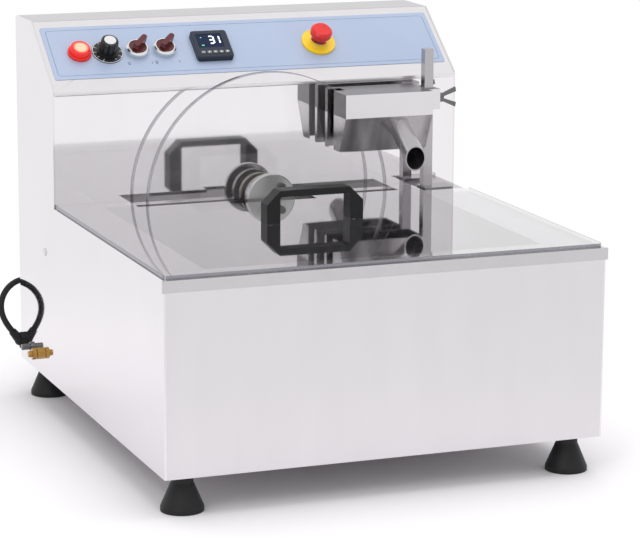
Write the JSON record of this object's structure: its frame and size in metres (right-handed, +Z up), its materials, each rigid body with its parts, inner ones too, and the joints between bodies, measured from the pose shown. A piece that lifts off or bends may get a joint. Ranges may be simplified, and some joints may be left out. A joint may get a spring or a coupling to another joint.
{
  "type": "chocolate tempering machine",
  "caption": "Table-top tempering machine: a steel cabinet with a heated tank, a clear wheel that lifts melted chocolate, a scraper with a spout, a clear lid and a control panel.",
  "frame": {"origin": "on the table, under the middle of the machine's box without the mains lead", "axes": "+Z up, -Y towards the operator's side with the lid's handle, +X to the operator's right"},
  "size_m": [0.573, 0.749, 0.494],
  "materials": {
    "casing_steel": "fine brushed stainless steel",
    "mirror_steel": "polished stainless steel",
    "tank_steel": "satin stainless steel with welded corners",
    "clear_plastic": "clear polycarbonate",
    "overlay_blue": "printed foil, pale blue",
    "black_plastic": "black moulded plastic",
    "foot_plastic": "black rubber",
    "hub_steel": "turned steel",
    "screw_steel": "plated steel",
    "bearing_bronze": "sintered bronze",
    "motor_paint": "dark grey enamel",
    "galvanised": "zinc plated sheet",
    "heater_silicone": "silicone heater mat",
    "scraper_plastic": "food grade plastic leaf",
    "lamp_red": "translucent red lens",
    "red_plastic": "red moulded plastic",
    "lever_red": "dark red lever",
    "ring_grey": "satin grey metal ring",
    "dial_print": "black dial with a plain scale",
    "knob_cap": "spun aluminium cap",
    "yellow_plate": "yellow plastic plate",
    "display_glass": "dark window",
    "key_grey": "soft grey key",
    "brass": "plain brass",
    "cord_rubber": "black rubber sheath"
  },
  "bodies": {
    "cabinet": {"side_panel_left": "casing_steel", "side_panel_right": "casing_steel", "front_panel": "casing_steel", "bottom_plate": "galvanised", "rear_panel": "casing_steel", "top_cover": "casing_steel", "column_front": "mirror_steel", "control_panel": "casing_steel", "panel_overlay": "overlay_blue", "feet": "foot_plastic", "tank": "tank_steel", "deck": "casing_steel", "heater_mat": "heater_silicone", "tank_probe": "screw_steel", "shaft_bearing": "bearing_bronze", "gear_motor": "motor_paint", "motor_bracket": "galvanised", "scraper_post": "casing_steel", "start_ring": "ring_grey", "speed_dial": "dial_print", "selector_ring_1": "ring_grey", "selector_ring_2": "ring_grey", "display_case": "black_plastic", "display_window": "display_glass", "stop_plate": "yellow_plate", "stop_collar": "red_plastic", "earth_stud": "brass", "earth_nuts": "brass", "steel_stud": "screw_steel", "side_screw": "screw_steel", "cord_gland": "black_plastic", "cord_lead": "cord_rubber", "cord_coil": "cord_rubber", "mains_plug": "black_plastic"},
    "lid_body": {"lid": "clear_plastic", "lid_handle": "black_plastic", "handle_screws": "screw_steel"},
    "wheel_body": {"wheel": "clear_plastic", "hub_front_disc": "hub_steel", "hub_screws": "screw_steel", "wheel_shaft": "hub_steel"},
    "scraper_body": {"scraper_hood": "casing_steel", "scraper_hopper": "casing_steel", "spout_tube": "casing_steel", "front_blade": "scraper_plastic", "back_blade": "scraper_plastic", "scraper_clamp": "casing_steel"},
    "wing_screw_body": {"wing_screw": "screw_steel"},
    "start_button": {"start_cap": "lamp_red"},
    "speed_knob_body": {"speed_knob": "black_plastic", "speed_knob_cap": "knob_cap"},
    "selector_1": {"selector_lever_1": "lever_red"},
    "selector_2": {"selector_lever_2": "lever_red"},
    "stop_stem_body": {"stop_stem": "red_plastic"},
    "stop_head_body": {"stop_head": "red_plastic"},
    "key_1": {"display_key_1": "key_grey"},
    "key_2": {"display_key_2": "key_grey"},
    "key_3": {"display_key_3": "key_grey"},
    "key_4": {"display_key_4": "key_grey"},
    "key_5": {"display_key_5": "key_grey"}
  },
  "joints": [
    {"name": "lid_slide", "type": "slide", "parent": "cabinet", "child": "lid_body", "axis": [0, -1, 0], "range_m": [0, 0.19]},
    {"name": "wheel_spin", "type": "hinge", "parent": "cabinet", "child": "wheel_body", "pos_m": [0.007, 0.103, 0.2765], "axis": [0, 1, 0], "continuous": true},
    {"name": "scraper_lift", "type": "slide", "parent": "cabinet", "child": "scraper_body", "axis": [0, 0, 1], "range_m": [-0.005, 0.05]},
    {"name": "wing_screw_turn", "type": "hinge", "parent": "scraper_body", "child": "wing_screw_body", "pos_m": [0.237, 0.102, 0.3925], "axis": [1, 0, 0], "range_deg": [0, 360]},
    {"name": "start_push", "type": "slide", "parent": "cabinet", "child": "start_button", "axis": [0, 0.6065, -0.7951], "range_m": [0, 0.003], "stiffness_N_per_m": 400, "springref_m": -0.003},
    {"name": "speed_turn", "type": "hinge", "parent": "cabinet", "child": "speed_knob_body", "pos_m": [-0.1775, 0.18493, 0.45808], "axis": [0, -0.6065, 0.7951], "range_deg": [-150, 150]},
    {"name": "selector_1_turn", "type": "hinge", "parent": "cabinet", "child": "selector_1", "pos_m": [-0.139, 0.18493, 0.45808], "axis": [0, -0.6065, 0.7951], "range_deg": [0, 90]},
    {"name": "selector_2_turn", "type": "hinge", "parent": "cabinet", "child": "selector_2", "pos_m": [-0.103, 0.18493, 0.45808], "axis": [0, -0.6065, 0.7951], "range_deg": [0, 90]},
    {"name": "key_1_push", "type": "slide", "parent": "cabinet", "child": "key_1", "axis": [0, 0.6065, -0.7951], "range_m": [0, 0.0008], "stiffness_N_per_m": 800, "springref_m": -0.0008},
    {"name": "key_2_push", "type": "slide", "parent": "cabinet", "child": "key_2", "axis": [0, 0.6065, -0.7951], "range_m": [0, 0.0008], "stiffness_N_per_m": 800, "springref_m": -0.0008},
    {"name": "key_3_push", "type": "slide", "parent": "cabinet", "child": "key_3", "axis": [0, 0.6065, -0.7951], "range_m": [0, 0.0008], "stiffness_N_per_m": 800, "springref_m": -0.0008},
    {"name": "key_4_push", "type": "slide", "parent": "cabinet", "child": "key_4", "axis": [0, 0.6065, -0.7951], "range_m": [0, 0.0008], "stiffness_N_per_m": 800, "springref_m": -0.0008},
    {"name": "key_5_push", "type": "slide", "parent": "cabinet", "child": "key_5", "axis": [0, 0.6065, -0.7951], "range_m": [0, 0.0008], "stiffness_N_per_m": 800, "springref_m": -0.0008},
    {"name": "stop_push", "type": "slide", "parent": "cabinet", "child": "stop_stem_body", "axis": [0, 0.6065, -0.7951], "range_m": [0, 0.004]},
    {"name": "stop_twist", "type": "hinge", "parent": "stop_stem_body", "child": "stop_head_body", "pos_m": [0.105, 0.18493, 0.45808], "axis": [0, -0.6065, 0.7951], "range_deg": [-30, 0], "stiffness_Nm_per_rad": 0.05}
  ]
}
